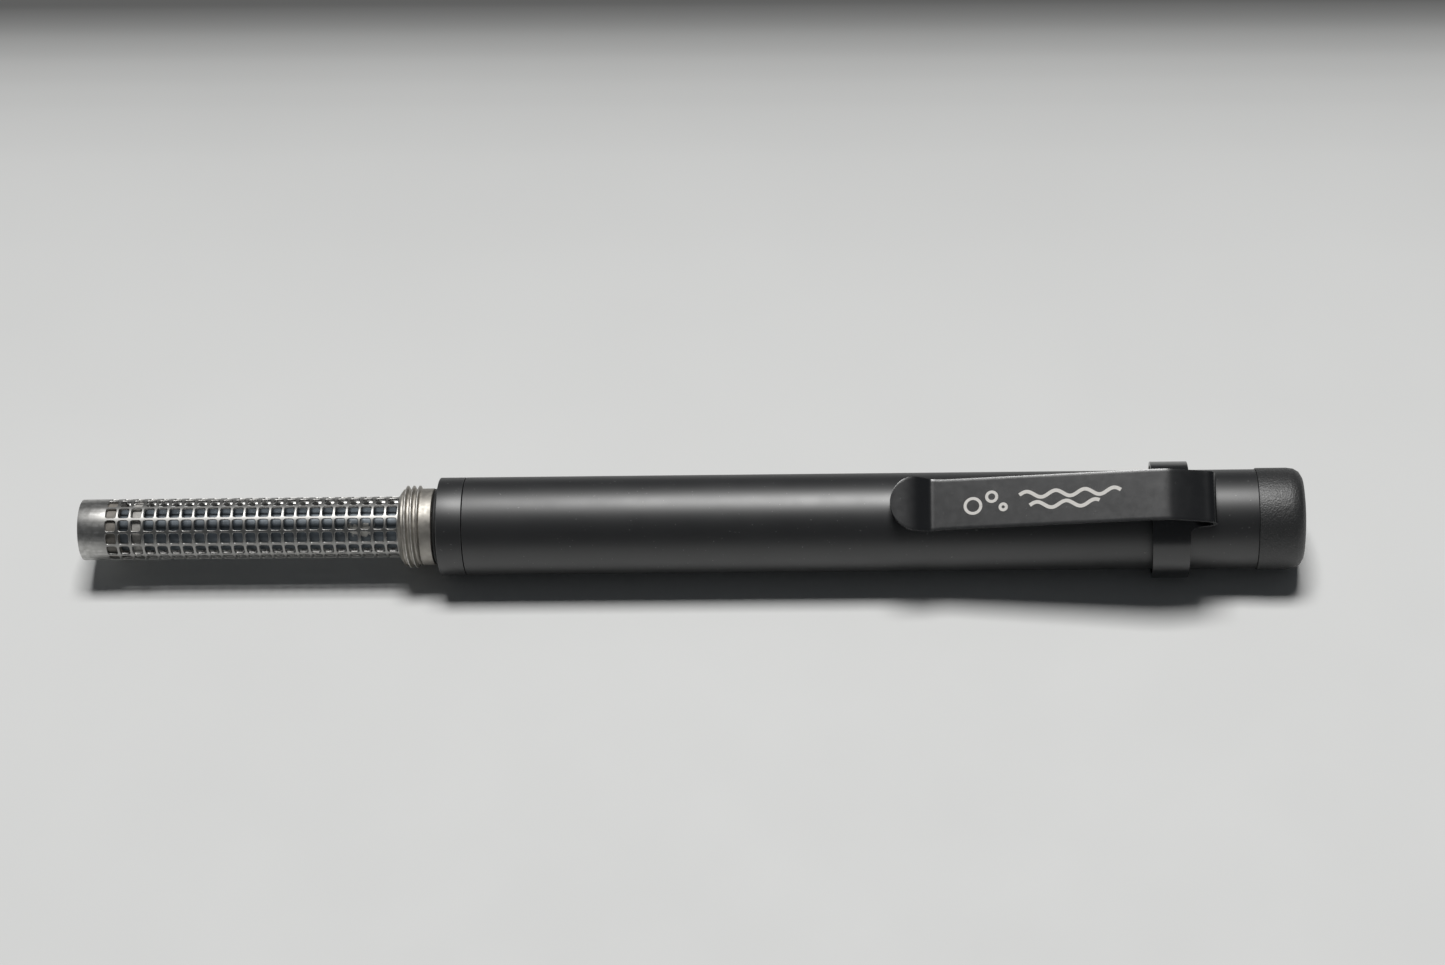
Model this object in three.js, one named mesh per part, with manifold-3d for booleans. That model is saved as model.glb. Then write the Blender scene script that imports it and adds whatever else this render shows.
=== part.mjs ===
// Pen-type electrolytic water ozoniser, millimetres, +Z up.
// The pen lies along X with its electrode tip towards -X. Inside the file a "station" is the distance from
// the tip along the pen's axis; the last section places the axis over the origin.
// A slim barrel holds a cell and a circuit board. In front a threaded collar carries a perforated cathode
// tube round an anode rod. Behind, a screwed tail cap holds the power button. A sprung pocket clip is
// snapped round the barrel.
import * as THREE from 'three';
import { mergeGeometries, mergeVertices } from 'three/addons/utils/BufferGeometryUtils.js';
import Module from 'manifold-3d';

const wasm = await Module();
wasm.setup();

// ---------------------------------------------------------------- driving dimensions
const length = 199.4;          // tip to tail
const barrelR = 8;
const boreR = 7;
const tailCapR = 8.2;
const headFace = 59.4;         // front face of the head ring
const headSeam = 63.7;         // head ring meets the barrel
const tailSeam = 191.8;        // barrel meets the tail cap
const seamGap = 0.2;
const roundSides = 36;
const hiddenSides = 24;         // for small or hidden round pieces

// perforated tube
const tubeRows = 14;           // rows of openings round the tube
const rowTurn = 5.5;           // degrees the rows are turned from the pen's centre plane
const tubeColumns = 23;        // openings along each row
const tubeR = 5.05;            // over the corners of the fourteen-sided section
const tubeBoreR = 4.62;
const tubeEnd = 56.4;
const columnPitch = 2.106;
const firstColumn = 5.46;
const openingLong = 1.66;
const openingWide = 1.84;

// threaded collar
const collarFront = 52.9;
const collarEnd = 70.2;
const threadTopR = 6.75;
const threadRootR = 6.15;
const threadPitch = 1;
const firstCrest = 53.95;
const crestCount = 3;
const bandR = 6.25;
const bandEnd = 58.4;
const neckR = 5.05;
const neckBoreR = 4.35;

// electrode rod
const rodR = 3.5;
const rodStart = 3.3;
const rodEnd = 70;
const studR = 1.5;
const studEnd = 76;
const fitGap = 0.15;           // radial gap between pieces that slide together

// cell, carrier and board
const cellR = 5;
const cellStart = 80.4;
const cellLength = 44;
const carrierR = 6.75;
const carrierStart = 76.6;
const carrierEnd = 181.4;
const boardTop = -1.9;         // height of the board's upper face above the axis
const boardThick = 1;
const boardStart = 130;
const boardEnd = 187.4;
const onBoard = boardTop + 0.05;

// tail end
const spigotStart = 188.4;
const capWallStart = 197.4;
const capCornerR = 2.3;
const buttonR = 3.1;
const buttonFace = 199.25;
const plungerTip = 187.6;

// pocket clip
const clipAngle = 68;          // degrees from -Y up towards +Z
const clipSheet = 0.6;
const bandInnerR = 8.8;
const bandStart = 174.8;
const bandStop = 180.8;
const bandHalfSpan = 130;      // degrees each side of the clip's centre plane
const footSpan = 8;            // degrees at each end where the band turns in to grip the barrel
const footR = 8.08;
const armTip = 133;
const bendStation = 183.25;    // centre of the U-bend that joins band and arm
const bendInnerR = 0.92;
const bendOuterR = bendInnerR + clipSheet;
const bendHeight = bandInnerR + bendOuterR;
const tongueWidth = 8.4;

// ---------------------------------------------------------------- materials
function finish(color, roughness, metalness) {
  return new THREE.MeshStandardMaterial({ color, roughness, metalness });
}

const steel = finish(0xb4b1aa, 0.35, 1);
const anodised = finish(0x202122, 0.5, 0.6);
const blackPlastic = finish(0x1d1e1f, 0.75, 0);
const clipBlack = finish(0x17191a, 0.4, 0.4);
const rubberBlack = finish(0x141414, 0.8, 0);
const whitePlastic = finish(0xd8d5cc, 0.6, 0);
const brass = finish(0xc9a15a, 0.35, 1);

// ---------------------------------------------------------------- solids
// One closed surface with merged corners, no collapsed triangles and its faces pointing out.
function closed(geometry) {
  const bare = geometry.clone();
  bare.deleteAttribute('normal');
  bare.deleteAttribute('uv');
  const merged = mergeVertices(bare, 1e-4);
  const index = merged.index.array;
  const kept = [];
  for (let i = 0; i < index.length; i += 3) {
    const [a, b, c] = [index[i], index[i + 1], index[i + 2]];
    if (a !== b && b !== c && c !== a) kept.push(a, b, c);
  }
  merged.setIndex(kept);
  if (signedVolume(merged) < 0) {
    for (let i = 0; i < kept.length; i += 3) {
      [kept[i], kept[i + 1]] = [kept[i + 1], kept[i]];
    }
    merged.setIndex(kept);
  }
  return merged;
}

function signedVolume(geometry) {
  const corner = [new THREE.Vector3(), new THREE.Vector3(), new THREE.Vector3()];
  let sum = 0;
  for (let i = 0; i < geometry.index.count; i += 3) {
    corner.forEach((p, k) => {
      p.fromBufferAttribute(geometry.attributes.position, geometry.index.getX(i + k));
    });
    sum += corner[0].dot(corner[1].clone().cross(corner[2])) / 6;
  }
  return sum;
}

function toManifold(geometry) {
  const g = closed(geometry);
  const vertProperties = new Float32Array(g.attributes.position.array);
  const triVerts = new Uint32Array(g.index.array);
  return new wasm.Manifold(new wasm.Mesh({ numProp: 3, vertProperties, triVerts }));
}

function fromManifold(solid) {
  const mesh = solid.getMesh();
  const geometry = new THREE.BufferGeometry();
  geometry.setAttribute('position', new THREE.BufferAttribute(mesh.vertProperties, 3));
  geometry.setIndex(new THREE.BufferAttribute(mesh.triVerts, 1));
  return geometry;
}

function cut(base, ...tools) {
  return fromManifold(tools.reduce((solid, tool) => solid.subtract(toManifold(tool)), toManifold(base)));
}

function join(base, ...others) {
  return fromManifold(others.reduce((solid, other) => solid.add(toManifold(other)), toManifold(base)));
}

function overlap(base, other) {
  return fromManifold(toManifold(base).intersect(toManifold(other)));
}

// A profile of [station, radius] points turned about the pen's axis. It starts and ends on the axis,
// or closes on itself.
function turned(profile, sides = roundSides) {
  const points = profile.map(([station, radius]) => new THREE.Vector2(radius, station));
  if (profile[0][1] > 0) points.push(points[0].clone());
  const geometry = new THREE.LatheGeometry(points, sides);
  geometry.rotateZ(-Math.PI / 2);
  return closed(geometry);
}

function tube(start, end, outer, inner, sides = roundSides) {
  return turned([[start, inner], [start, outer], [end, outer], [end, inner]], sides);
}

function rod(start, end, radius, sides = roundSides) {
  return turned([[start, 0], [start, radius], [end, radius], [end, 0]], sides);
}

function hexNut(start, end, cornerR, holeR) {
  return cut(rod(start, end, cornerR, 6), rod(start - 1, end + 1, holeR, hiddenSides));
}

// Ring of oval section: axial and radial half widths about a circle of radius ringR.
function ovalRing(station, ringR, halfAxial, halfRadial, sides = roundSides) {
  const sectionSides = 8;
  const profile = [];
  for (let i = 0; i < sectionSides; i++) {
    const a = (i / sectionSides) * Math.PI * 2;
    profile.push([station + halfAxial * Math.cos(a), ringR + halfRadial * Math.sin(a)]);
  }
  return turned(profile, sides);
}

function box(x0, x1, y0, y1, z0, z1) {
  const geometry = new THREE.BoxGeometry(x1 - x0, y1 - y0, z1 - z0);
  geometry.translate((x0 + x1) / 2, (y0 + y1) / 2, (z0 + z1) / 2);
  return closed(geometry);
}

// A flat outline in (station, height) swept across Y, centred on the pen's plane.
function sweptAcross(outline, width) {
  const shape = new THREE.Shape(outline.map(([station, height]) => new THREE.Vector2(station, height)));
  const geometry = new THREE.ExtrudeGeometry(shape, { depth: width, bevelEnabled: false });
  geometry.translate(0, 0, -width / 2);
  geometry.rotateX(Math.PI / 2);
  return closed(geometry);
}

function wire(points, radius, steps, sides) {
  const section = new THREE.Shape();
  for (let i = 0; i < sides; i++) {
    const a = (i / sides) * Math.PI * 2;
    const [u, v] = [radius * Math.cos(a), radius * Math.sin(a)];
    if (i === 0) section.moveTo(u, v);
    else section.lineTo(u, v);
  }
  const curve = new THREE.CatmullRomCurve3(points.map((p) => new THREE.Vector3(...p)));
  return closed(new THREE.ExtrudeGeometry(section, { steps, extrudePath: curve, bevelEnabled: false }));
}

// ---------------------------------------------------------------- electrode head
function guardTube() {
  const reach = 0.25;            // the cutters pass the wall by this much
  const row = [];
  for (let column = 0; column < tubeColumns; column++) {
    const centre = firstColumn + column * columnPitch;
    row.push(box(
      centre - openingLong / 2, centre + openingLong / 2,
      -openingWide / 2, openingWide / 2,
      tubeBoreR - 2 * reach, tubeR + reach,
    ));
  }
  const rowCutter = mergeGeometries(row);
  let solid = toManifold(tube(0, tubeEnd, tubeR, tubeBoreR, tubeRows));
  for (let i = 0; i < tubeRows; i++) {
    const cutter = rowCutter.clone();
    cutter.rotateX(((i + 0.5) / tubeRows) * Math.PI * 2);
    solid = solid.subtract(toManifold(cutter));
  }
  return fromManifold(solid).rotateX(-THREE.MathUtils.degToRad(rowTurn));
}

function tipPlug() {
  const plugR = 4.3;
  const pocket = 3;
  const plugEnd = 6.7;
  return turned([
    [0.6, 0], [0.6, plugR - 0.3], [0.9, plugR], [plugEnd, plugR],
    [plugEnd, rodR + fitGap], [pocket, rodR + fitGap], [pocket, 0],
  ], hiddenSides);
}

function threadedCollar() {
  const profile = [[collarFront, 5.25], [53, 5.65], [53.2, 6], [53.5, threadRootR]];
  for (let i = 0; i < crestCount; i++) {
    const crest = firstCrest + i * threadPitch;
    profile.push([crest - 0.35, threadRootR], [crest - 0.08, threadTopR]);
    profile.push([crest + 0.08, threadTopR], [crest + 0.35, threadRootR]);
  }
  profile.push([56.5, bandR], [bandEnd, bandR], [bandEnd, neckR]);
  profile.push([collarEnd, neckR], [collarEnd, neckBoreR], [56.7, neckBoreR], [56.7, 5.25]);
  return turned(profile);
}

function headRing() {
  const boreOfRing = neckR + 0.2;
  const spigotR = 6.8;
  const grooveR = 5.9;
  const chamfer = 0.2;
  const sealPocketR = 6.95;
  const pocketFloor = headFace + 0.3;
  const back = headSeam - seamGap;
  return turned([
    [pocketFloor, boreOfRing], [pocketFloor, sealPocketR], [headFace, sealPocketR],
    [headFace, barrelR - chamfer], [headFace + chamfer, barrelR],
    [back - chamfer, barrelR], [back, barrelR - chamfer], [back, spigotR],
    [65, spigotR], [65, grooveR], [66.2, grooveR], [66.2, spigotR], [68, spigotR], [68, boreOfRing],
  ]);
}

function rearInsulator() {
  const sleeveR = neckBoreR - fitGap;
  const flangeStart = 70.5;
  const flangeR = 6.4;
  return turned([
    [53.6, rodR + fitGap], [53.6, sleeveR], [flangeStart, sleeveR], [flangeStart, flangeR],
    [72.6, flangeR], [72.6, studR + fitGap], [rodEnd + fitGap, studR + fitGap],
    [rodEnd + fitGap, rodR + fitGap],
  ], hiddenSides);
}

function anodeRod() {
  return turned([
    [rodStart, 0], [rodStart, rodR - 0.2], [rodStart + 0.2, rodR], [rodEnd, rodR],
    [rodEnd, studR], [studEnd, studR], [studEnd, 0],
  ], hiddenSides);
}

// ---------------------------------------------------------------- barrel and what it holds
function barrel() {
  const chamfer = 0.15;
  return turned([
    [headSeam, boreR], [headSeam, barrelR - chamfer], [headSeam + chamfer, barrelR],
    [tailSeam - chamfer, barrelR], [tailSeam, barrelR - chamfer], [tailSeam, boreR],
  ]);
}

function carrier() {
  const cradleEnd = 128;
  const cradleInnerR = 5.35;
  const railInnerR = 6.1;
  const railTop = boardTop - boardThick - 0.1;
  const wallThick = 1.4;
  const cradle = cut(
    tube(carrierStart, cradleEnd, carrierR, cradleInnerR, hiddenSides),
    box(carrierStart - 1, cradleEnd + 1, -9, 9, 1.2, 9),
  );
  const rails = cut(
    tube(cradleEnd - 0.4, carrierEnd, carrierR, railInnerR, hiddenSides),
    box(cradleEnd - 1, carrierEnd + 1, -9, 9, railTop, 9),
  );
  const above = box(carrierStart - 1, cradleEnd + 1, -9, 9, 3.4, 9);
  const frontWall = cut(rod(carrierStart, carrierStart + wallThick, carrierR - 0.2, hiddenSides), above);
  const backWall = cut(rod(cradleEnd - wallThick, cradleEnd, carrierR - 0.2, hiddenSides), above);
  return join(cradle, rails, frontWall, backWall);
}

function batteryCell() {
  const end = cellStart + cellLength;
  return turned([
    [cellStart, 0], [cellStart, cellR - 0.4], [cellStart + 0.4, cellR], [end - 0.4, cellR],
    [end, cellR - 0.4], [end, 2.4], [end + 1, 2.4], [end + 1, 0],
  ], hiddenSides);
}

// Conical wire spring between the carrier's front wall and the cell.
function batterySpring() {
  const wireR = 0.3;
  const turns = 3;
  const steps = 36;
  const start = carrierStart + 1.4 + wireR + 0.1;
  const end = cellStart - wireR - 0.1;
  const points = [];
  for (let i = 0; i <= steps; i++) {
    const t = i / steps;
    const radius = 3.6 - 1.6 * t;
    const a = t * turns * Math.PI * 2;
    points.push([start + (end - start) * t, radius * Math.cos(a), radius * Math.sin(a)]);
  }
  return wire(points, wireR, steps * 1.25, 5);
}

function leadWire(side, terminalStation) {
  const wireR = 0.45;
  const clearOfCell = 6.05;
  const across = side * 1.6;
  const points = [
    [terminalStation, side * 3.4, 2.6], [terminalStation + 1.4, side * 3.2, 4.6],
    [80, across, clearOfCell - 0.25], [104, across, clearOfCell - 0.25], [127, across, clearOfCell - 0.25],
    [131, side * 2.4, 3.2], [133.5, side * 3, -0.6], [134.2, side * 3.2, onBoard + wireR],
  ];
  return wire(points, wireR, 24, 6);
}

function chargingSocket() {
  const [front, face] = [181.9, 187.5];
  const [halfWide, top, height, wall] = [3.75, boardTop - boardThick - 0.05, 2.6, 0.35];
  const shell = box(front, face, -halfWide, halfWide, top - height, top);
  const mouth = box(front + 1, face + 1, -halfWide + wall, halfWide - wall, top - height + wall, top - wall);
  const tongue = box(front + 0.9, face - 0.6, -2.4, 2.4, top - 1.1, top - 0.7);
  return join(cut(shell, mouth), tongue);
}

function tactSwitch() {
  const [front, face] = [183.2, 186.6];
  const body = box(front, face, -3, 3, onBoard, 1.75);
  return cut(body, rod(184.2, face + 1, 1.05, 16));
}

// ---------------------------------------------------------------- tail end
function tailCap() {
  const front = tailSeam + seamGap;
  const spigotR = 6.6;
  const ridgeR = 6.85;
  const ringSeatR = 6;
  const hollowR = 5.6;
  const ringHoleR = 4.95;
  const grooveStart = tailSeam - 1.4;
  const profile = [[spigotStart, hollowR], [spigotStart, spigotR]];
  for (const ridge of [spigotStart + 0.6, spigotStart + 1.6]) {
    profile.push([ridge - 0.25, spigotR], [ridge, ridgeR], [ridge + 0.25, spigotR]);
  }
  profile.push([grooveStart, spigotR], [grooveStart, ringSeatR], [front, ringSeatR]);
  profile.push([front, tailCapR - 0.15]);
  profile.push([front + 0.15, tailCapR]);
  const cornerSteps = 4;
  for (let i = 0; i <= cornerSteps; i++) {
    const a = (i / cornerSteps) * Math.PI / 2;
    profile.push([
      length - capCornerR + capCornerR * Math.sin(a),
      tailCapR - capCornerR + capCornerR * Math.cos(a),
    ]);
  }
  profile.push([length, ringHoleR], [capWallStart, ringHoleR], [capWallStart, hollowR]);
  return turned(profile);
}

function lightRing() {
  return turned([
    [196.5, buttonR + fitGap], [196.5, 5.4], [capWallStart - 0.1, 5.4], [capWallStart - 0.1, 4.8],
    [length - 0.05, 4.8], [length - 0.05, buttonR + fitGap],
  ], hiddenSides);
}

function powerButton() {
  const stemR = 1.6;
  const flangeR = 4.2;
  return turned([
    [plungerTip + 0.1, 0], [plungerTip + 0.1, stemR], [195, stemR], [195, flangeR], [196.2, flangeR],
    [196.2, buttonR], [buttonFace - 0.2, buttonR], [buttonFace, buttonR - 0.2], [buttonFace, 0],
  ], hiddenSides);
}

// ---------------------------------------------------------------- pocket clip
// Height of the arm's outer face above the pen's axis at each station, before the U-bend.
const armLine = [
  [armTip, 10.4], [136.8, 9.8], [138.6, 9.05], [139.3, 8.74], [139.7, 8.68], [140.2, 8.73],
  [174.6, 13.08], [176.2, 13.2], [177.6, 13.13], [180.4, 12.58], [182.6, 11.96],
];

function bendPoint(radius, degrees) {
  const a = THREE.MathUtils.degToRad(degrees);
  return [bendStation + radius * Math.cos(a), bendHeight + radius * Math.sin(a)];
}

function bendArc(radius, from, to) {
  const steps = 6;
  return Array.from({ length: steps + 1 }, (_, i) => bendPoint(radius, from + ((to - from) * i) / steps));
}

function armOutline() {
  const outer = armLine.map(([station, height]) => [station, height]);
  const inner = armLine.map(([station, height]) => [station, height - clipSheet]).reverse();
  return [...outer, ...bendArc(bendOuterR, 90, 0), ...bendArc(bendInnerR, 0, 90), ...inner];
}

// Plan view of the arm: a round paddle and a straight blade.
function armPlan() {
  const [paddleHalf, bladeHalf] = [4.5, 4.2];
  const paddleCentre = 137;
  const half = [];
  const steps = 9;
  for (let i = 0; i <= steps; i++) {
    const a = (i / steps) * Math.PI / 2;
    half.push([paddleCentre - (paddleCentre - armTip) * Math.cos(a), paddleHalf * Math.sin(a)]);
  }
  half.push([141.5, bladeHalf], [bendStation + 3, bladeHalf]);
  const mirrored = half.slice(1).map(([station, y]) => [station, -y]).reverse();
  const shape = new THREE.Shape([...half, ...mirrored].map(([station, y]) => new THREE.Vector2(station, y)));
  return closed(new THREE.ExtrudeGeometry(shape, { depth: 20, bevelEnabled: false }));
}

// The clip is drawn with its centre plane upright, then turned to its place round the barrel.
function turnToClip(geometry) {
  geometry.rotateX(THREE.MathUtils.degToRad(90 - clipAngle));
  return geometry;
}

function clipArm() {
  return turnToClip(overlap(sweptAcross(armOutline(), 12), armPlan()));
}

// C-shaped band seen along the pen, open opposite the arm, its two ends turned in to grip the barrel.
function bandSection() {
  const steps = 40;
  const [outer, inner] = [[], []];
  for (let i = 0; i <= steps; i++) {
    const fromCentre = -bandHalfSpan + (i / steps) * bandHalfSpan * 2;
    const intoFoot = Math.max(0, Math.abs(fromCentre) - (bandHalfSpan - footSpan)) / footSpan;
    const radius = bandInnerR - (bandInnerR - footR) * intoFoot;
    const a = THREE.MathUtils.degToRad(fromCentre + 90);
    inner.push([radius * Math.cos(a), radius * Math.sin(a)]);
    outer.push([(radius + clipSheet) * Math.cos(a), (radius + clipSheet) * Math.sin(a)]);
  }
  return [...outer, ...inner.reverse()];
}

function bandRing(start, stop) {
  const shape = new THREE.Shape(bandSection().map(([y, z]) => new THREE.Vector2(y, z)));
  const ring = new THREE.ExtrudeGeometry(shape, { depth: stop - start, bevelEnabled: false });
  ring.rotateX(Math.PI / 2);
  ring.rotateZ(Math.PI / 2);
  return ring.translate(start, 0, 0);
}

// The band, the tongue that leaves it, the lower half of the U-bend and the dimple that presses on the barrel.
function clipBand() {
  const tongueEnd = bendStation - 0.5;
  const halfWidth = tongueWidth / 2;
  const tongue = overlap(
    bandRing(bandStop - 0.5, tongueEnd),
    box(bandStart, bendStation, -halfWidth, halfWidth, 0, bandInnerR * 2),
  );
  const bendOutline = [
    [tongueEnd - 0.4, bandInnerR], ...bendArc(bendOuterR, -90, -8), ...bendArc(bendInnerR, -8, -90),
    [tongueEnd - 0.4, bandInnerR + clipSheet],
  ];
  const bend = sweptAcross(bendOutline, tongueWidth);
  const dimpleTop = bandInnerR + 0.2;
  const dimple = new THREE.CylinderGeometry(1.1, 0.7, dimpleTop - footR, 16);
  dimple.rotateX(Math.PI / 2);
  dimple.translate((bandStart + bandStop) / 2, 0, (dimpleTop + footR) / 2);
  return turnToClip(join(bandRing(bandStart, bandStop), tongue, bend, dimple));
}

// ---------------------------------------------------------------- assembly
const pen = new THREE.Group();
pen.position.set(-length / 2, 0, tailCapR);

function add(name, geometry, material) {
  const mesh = new THREE.Mesh(geometry, material.clone());
  mesh.name = name;
  pen.add(mesh);
}

// Electrode head
const tagStart = 68.05;
const nutR = 6.7;
const terminalStart = 73;
add('guard_tube', guardTube(), steel);
add('tip_plug', tipPlug(), finish(0x5a514b, 0.8, 0));
add('front_spacer', tube(8.9, 10.4, 4.3, rodR + fitGap, hiddenSides), whitePlastic);
add('anode_rod', anodeRod(), finish(0x3a4248, 0.3, 0.7));
add('rear_insulator', rearInsulator(), whitePlastic);
add('threaded_collar', threadedCollar(), steel);
add('cap_seal', ovalRing(58.93, 5.74, 0.43, 0.58), rubberBlack);
add('head_ring', headRing(), anodised);
add('head_seal', ovalRing(65.6, 6.45, 0.5, 0.48, hiddenSides), rubberBlack);
add('cathode_tag', tube(tagStart, tagStart + 0.25, 6.6, neckR + 0.2, hiddenSides), brass);
add('collar_nut', hexNut(tagStart + 0.3, collarEnd - 0.1, nutR, neckR + 0.1), steel);
add('terminal_nut', hexNut(terminalStart, terminalStart + 1.8, 2.9, studR + 0.1), brass);
add('anode_lead', leadWire(1, terminalStart + 0.2), finish(0x9a1c18, 0.5, 0));
add('cathode_lead', leadWire(-1, terminalStart + 0.2), finish(0x17181a, 0.5, 0));

// Barrel, cell, carrier and electronics
const boardBottom = boardTop - boardThick;
const capacitorR = 3;
add('barrel', barrel(), anodised);
add('carrier', carrier(), whitePlastic);
add('battery_cell', batteryCell(), finish(0x3b6ea8, 0.4, 0.1));
add('battery_spring', batterySpring(), finish(0xbdbdb8, 0.3, 1));
add('battery_contact', rod(125.65, 126.3, 3.6, hiddenSides), brass);
add('circuit_board', box(boardStart, boardEnd, -5.9, 5.9, boardBottom, boardTop), finish(0x1d5a38, 0.5, 0));
add('boost_inductor', box(137, 143.4, -3.2, 3.2, onBoard, onBoard + 3.4), finish(0x3a3a3c, 0.6, 0.2));
add('controller_chip', box(147, 152, -2, 2, onBoard, onBoard + 1.1), finish(0x18191b, 0.5, 0));
const can = rod(156, 168, capacitorR, hiddenSides).translate(0, 0, onBoard + capacitorR + 0.05);
add('storage_capacitor', can, finish(0x2c2f52, 0.4, 0.1));
add('status_led', box(183.6, 185.2, 3.9, 4.9, onBoard, onBoard + 0.7), finish(0xdfe8ee, 0.3, 0));
add('charging_socket', chargingSocket(), finish(0xc4c4c0, 0.3, 1));
add('tact_switch', tactSwitch(), finish(0x1b1b1c, 0.5, 0));
add('switch_plunger', rod(184.9, plungerTip, 0.95, 16), finish(0xd9d4c4, 0.5, 0));

// Tail end
add('tail_gasket', ovalRing(tailSeam - 0.6, 6.48, 0.55, 0.42, hiddenSides), rubberBlack);
add('tail_cap', tailCap(), blackPlastic);
add('light_ring', lightRing(), finish(0xdfe6ea, 0.4, 0));
add('power_button', powerButton(), finish(0x26282a, 0.6, 0));

// Pocket clip
add('clip_band', clipBand(), clipBlack);
add('clip_arm', clipArm(), clipBlack);

export default pen;
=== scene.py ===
"""Looks for the pen-type water ozoniser: every visible CAD piece gets a finely turned or bent mesh and a
node material. Lengths are in millimetres until a point is placed; a "station" is the distance from the
electrode tip along the pen, and "phi" is the angle round the pen from the -Y side up towards +Z."""

import math

import bmesh
import bpy
import numpy as np
from mathutils import Matrix, Vector


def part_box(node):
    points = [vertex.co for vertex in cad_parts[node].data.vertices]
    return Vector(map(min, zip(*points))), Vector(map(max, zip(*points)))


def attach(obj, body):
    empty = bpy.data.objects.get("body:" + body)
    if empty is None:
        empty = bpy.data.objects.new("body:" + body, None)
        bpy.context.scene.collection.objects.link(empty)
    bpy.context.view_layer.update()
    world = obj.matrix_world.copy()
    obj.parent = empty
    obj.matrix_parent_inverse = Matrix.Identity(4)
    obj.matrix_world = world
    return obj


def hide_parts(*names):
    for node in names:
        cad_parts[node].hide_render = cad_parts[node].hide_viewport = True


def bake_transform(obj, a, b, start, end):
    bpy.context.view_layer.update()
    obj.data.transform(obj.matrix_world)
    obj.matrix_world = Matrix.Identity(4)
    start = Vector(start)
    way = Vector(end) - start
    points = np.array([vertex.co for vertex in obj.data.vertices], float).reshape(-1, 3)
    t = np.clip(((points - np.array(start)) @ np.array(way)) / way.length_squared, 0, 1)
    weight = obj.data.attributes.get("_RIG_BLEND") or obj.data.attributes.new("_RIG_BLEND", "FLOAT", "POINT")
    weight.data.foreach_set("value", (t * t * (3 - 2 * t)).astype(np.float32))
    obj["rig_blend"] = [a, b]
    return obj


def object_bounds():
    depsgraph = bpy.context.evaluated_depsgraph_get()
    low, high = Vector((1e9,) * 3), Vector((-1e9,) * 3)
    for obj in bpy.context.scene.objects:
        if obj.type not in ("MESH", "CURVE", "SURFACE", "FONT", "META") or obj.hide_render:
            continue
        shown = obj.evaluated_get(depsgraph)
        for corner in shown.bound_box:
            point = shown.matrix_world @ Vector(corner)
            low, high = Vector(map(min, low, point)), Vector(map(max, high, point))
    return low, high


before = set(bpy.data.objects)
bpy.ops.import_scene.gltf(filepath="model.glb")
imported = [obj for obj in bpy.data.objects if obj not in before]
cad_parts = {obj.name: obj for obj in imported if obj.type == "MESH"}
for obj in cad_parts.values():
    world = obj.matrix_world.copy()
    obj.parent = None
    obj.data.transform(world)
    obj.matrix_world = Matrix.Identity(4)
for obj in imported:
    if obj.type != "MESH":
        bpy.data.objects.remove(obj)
cad_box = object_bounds()

MM = 0.001
SIDES = 144           # steps round a turned piece


# ---------------------------------------------------------------- places, read from the frame
def corners_of(node):
    low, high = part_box(node)
    return Vector(low), Vector(high)


TIP_X = corners_of("guard_tube")[0].x
AXIS_Z = sum(corner.z for corner in corners_of("barrel")) / 2


def span(node):
    """First station, last station and outer radius of a round node."""
    low, high = corners_of(node)
    return (low.x - TIP_X) / MM, (high.x - TIP_X) / MM, (high.y - low.y) / 2 / MM


def on_pen(station, radius, phi):
    """Point at a station, a radius from the pen's axis and an angle in radians."""
    return Vector((
        TIP_X + station * MM,
        -radius * math.cos(phi) * MM,
        AXIS_Z + radius * math.sin(phi) * MM,
    ))


CLIP_PHI = math.radians(68)


def on_clip(station, across, height):
    """Point on the clip: height above the axis along its centre plane, and distance across that plane."""
    up = Vector((0, -math.cos(CLIP_PHI), math.sin(CLIP_PHI)))
    side = Vector((0, math.sin(CLIP_PHI), math.cos(CLIP_PHI)))
    centre = Vector((TIP_X + station * MM, 0, AXIS_Z))
    return centre + up * height * MM + side * across * MM


# ---------------------------------------------------------------- mesh helpers
def mesh_object(name, bm, sharp=38, tidy_normals=True):
    """Object from a bmesh; edges that turn more than so many degrees are shaded sharp."""
    weld = 0.002 * MM
    bmesh.ops.remove_doubles(bm, verts=bm.verts, dist=weld)
    if tidy_normals:
        bmesh.ops.recalc_face_normals(bm, faces=bm.faces)
    mesh = bpy.data.meshes.new(name)
    bm.to_mesh(mesh)
    bm.free()
    return smooth_object(name, mesh, sharp)


def smooth_object(name, mesh, sharp):
    mesh.polygons.foreach_set("use_smooth", [True] * len(mesh.polygons))
    mesh.set_sharp_from_angle(angle=math.radians(sharp))
    piece = bpy.data.objects.new(name, mesh)
    bpy.context.scene.collection.objects.link(piece)
    return piece


def stitch(bm, rings, around=True, back_to_first=False):
    """Quads between each ring of vertices and the next; a ring of one vertex closes to a point."""
    pairs = list(zip(rings, rings[1:]))
    if back_to_first:
        pairs.append((rings[-1], rings[0]))
    for a, b in pairs:
        count = max(len(a), len(b))
        for k in range(count if around else count - 1):
            j = k + 1
            corners = [a[k % len(a)], b[k % len(b)], b[j % len(b)], a[j % len(a)]]
            corners = list(dict.fromkeys(corners))
            if len(corners) > 2:
                bm.faces.new(corners)


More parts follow.
